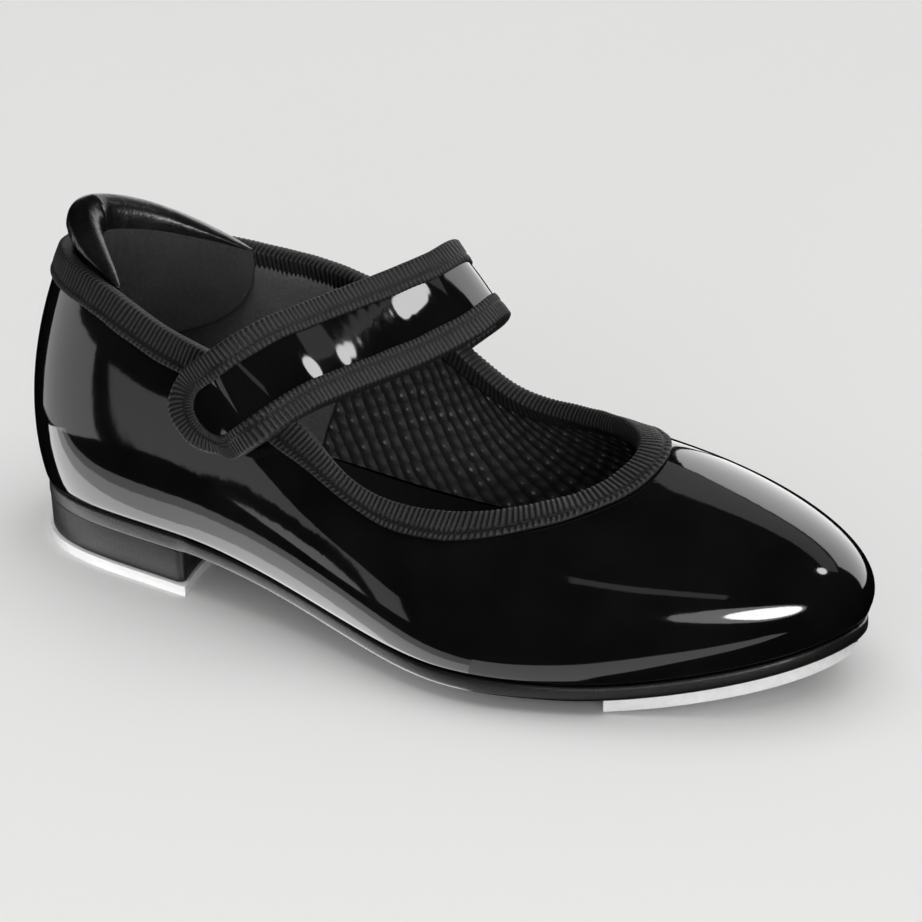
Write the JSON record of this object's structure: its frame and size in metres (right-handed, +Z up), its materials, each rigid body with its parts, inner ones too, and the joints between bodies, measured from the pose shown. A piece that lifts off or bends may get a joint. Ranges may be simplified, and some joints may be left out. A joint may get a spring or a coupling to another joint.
{
  "type": "tap_shoe",
  "caption": "Child's right-foot strap tap shoe: glossy patent upper with ribbon edges, padded heel collar, block heel, and metal taps screwed under heel and toe.",
  "frame": {"origin": "centre of the bottom of the whole object's box", "axes": "+X to the toe, +Y to the inner side of the foot, +Z up"},
  "size_m": [0.2014, 0.08, 0.0764],
  "materials": {
    "sole_black": "satin, slightly textured",
    "board_brown": "pressed fibre board",
    "sock_black": "textured with small light dots",
    "steel": "plain",
    "tap_metal": "cast and ground",
    "patent_black": "patent, very glossy",
    "lining_charcoal": "matt, napped",
    "ribbon_black": "grosgrain ribs",
    "collar_black": "soft, semi-gloss",
    "foam": "open-cell foam",
    "fastening_black": "hook and loop"
  },
  "bodies": {
    "shoe": {"outsole": "sole_black", "insole_board": "board_brown", "sock_lining": "sock_black", "shank": "steel", "forefoot_filler": "board_brown", "heel_block": "sole_black", "heel_tap": "tap_metal", "toe_tap": "tap_metal", "heel_tap_screw_1": "steel", "heel_tap_screw_2": "steel", "heel_tap_screw_3": "steel", "toe_tap_screw_1": "steel", "toe_tap_screw_2": "steel", "toe_tap_screw_3": "steel", "heel_nail_1": "steel", "heel_nail_2": "steel", "heel_nail_3": "steel", "heel_nail_4": "steel", "heel_nail_5": "steel", "patent_upper": "patent_black", "quarter_lining": "lining_charcoal", "vamp_lining": "lining_charcoal", "heel_counter": "board_brown", "toe_puff": "board_brown", "topline_binding": "ribbon_black", "throat_binding": "ribbon_black", "collar_cover": "collar_black", "collar_foam": "foam", "loop_patch": "fastening_black", "strap_root": "ribbon_black"},
    "strap": {"strap_face": "patent_black", "strap_lining": "lining_charcoal", "strap_binding": "ribbon_black", "hook_patch": "fastening_black"}
  },
  "joints": [
    {"name": "strap_swing", "type": "hinge", "parent": "shoe", "child": "strap", "pos_m": [-0.01913, 0.03614, 0.05105], "axis": [-0.6756, 0.025, 0.7369], "range_deg": [0, 100]}
  ]
}
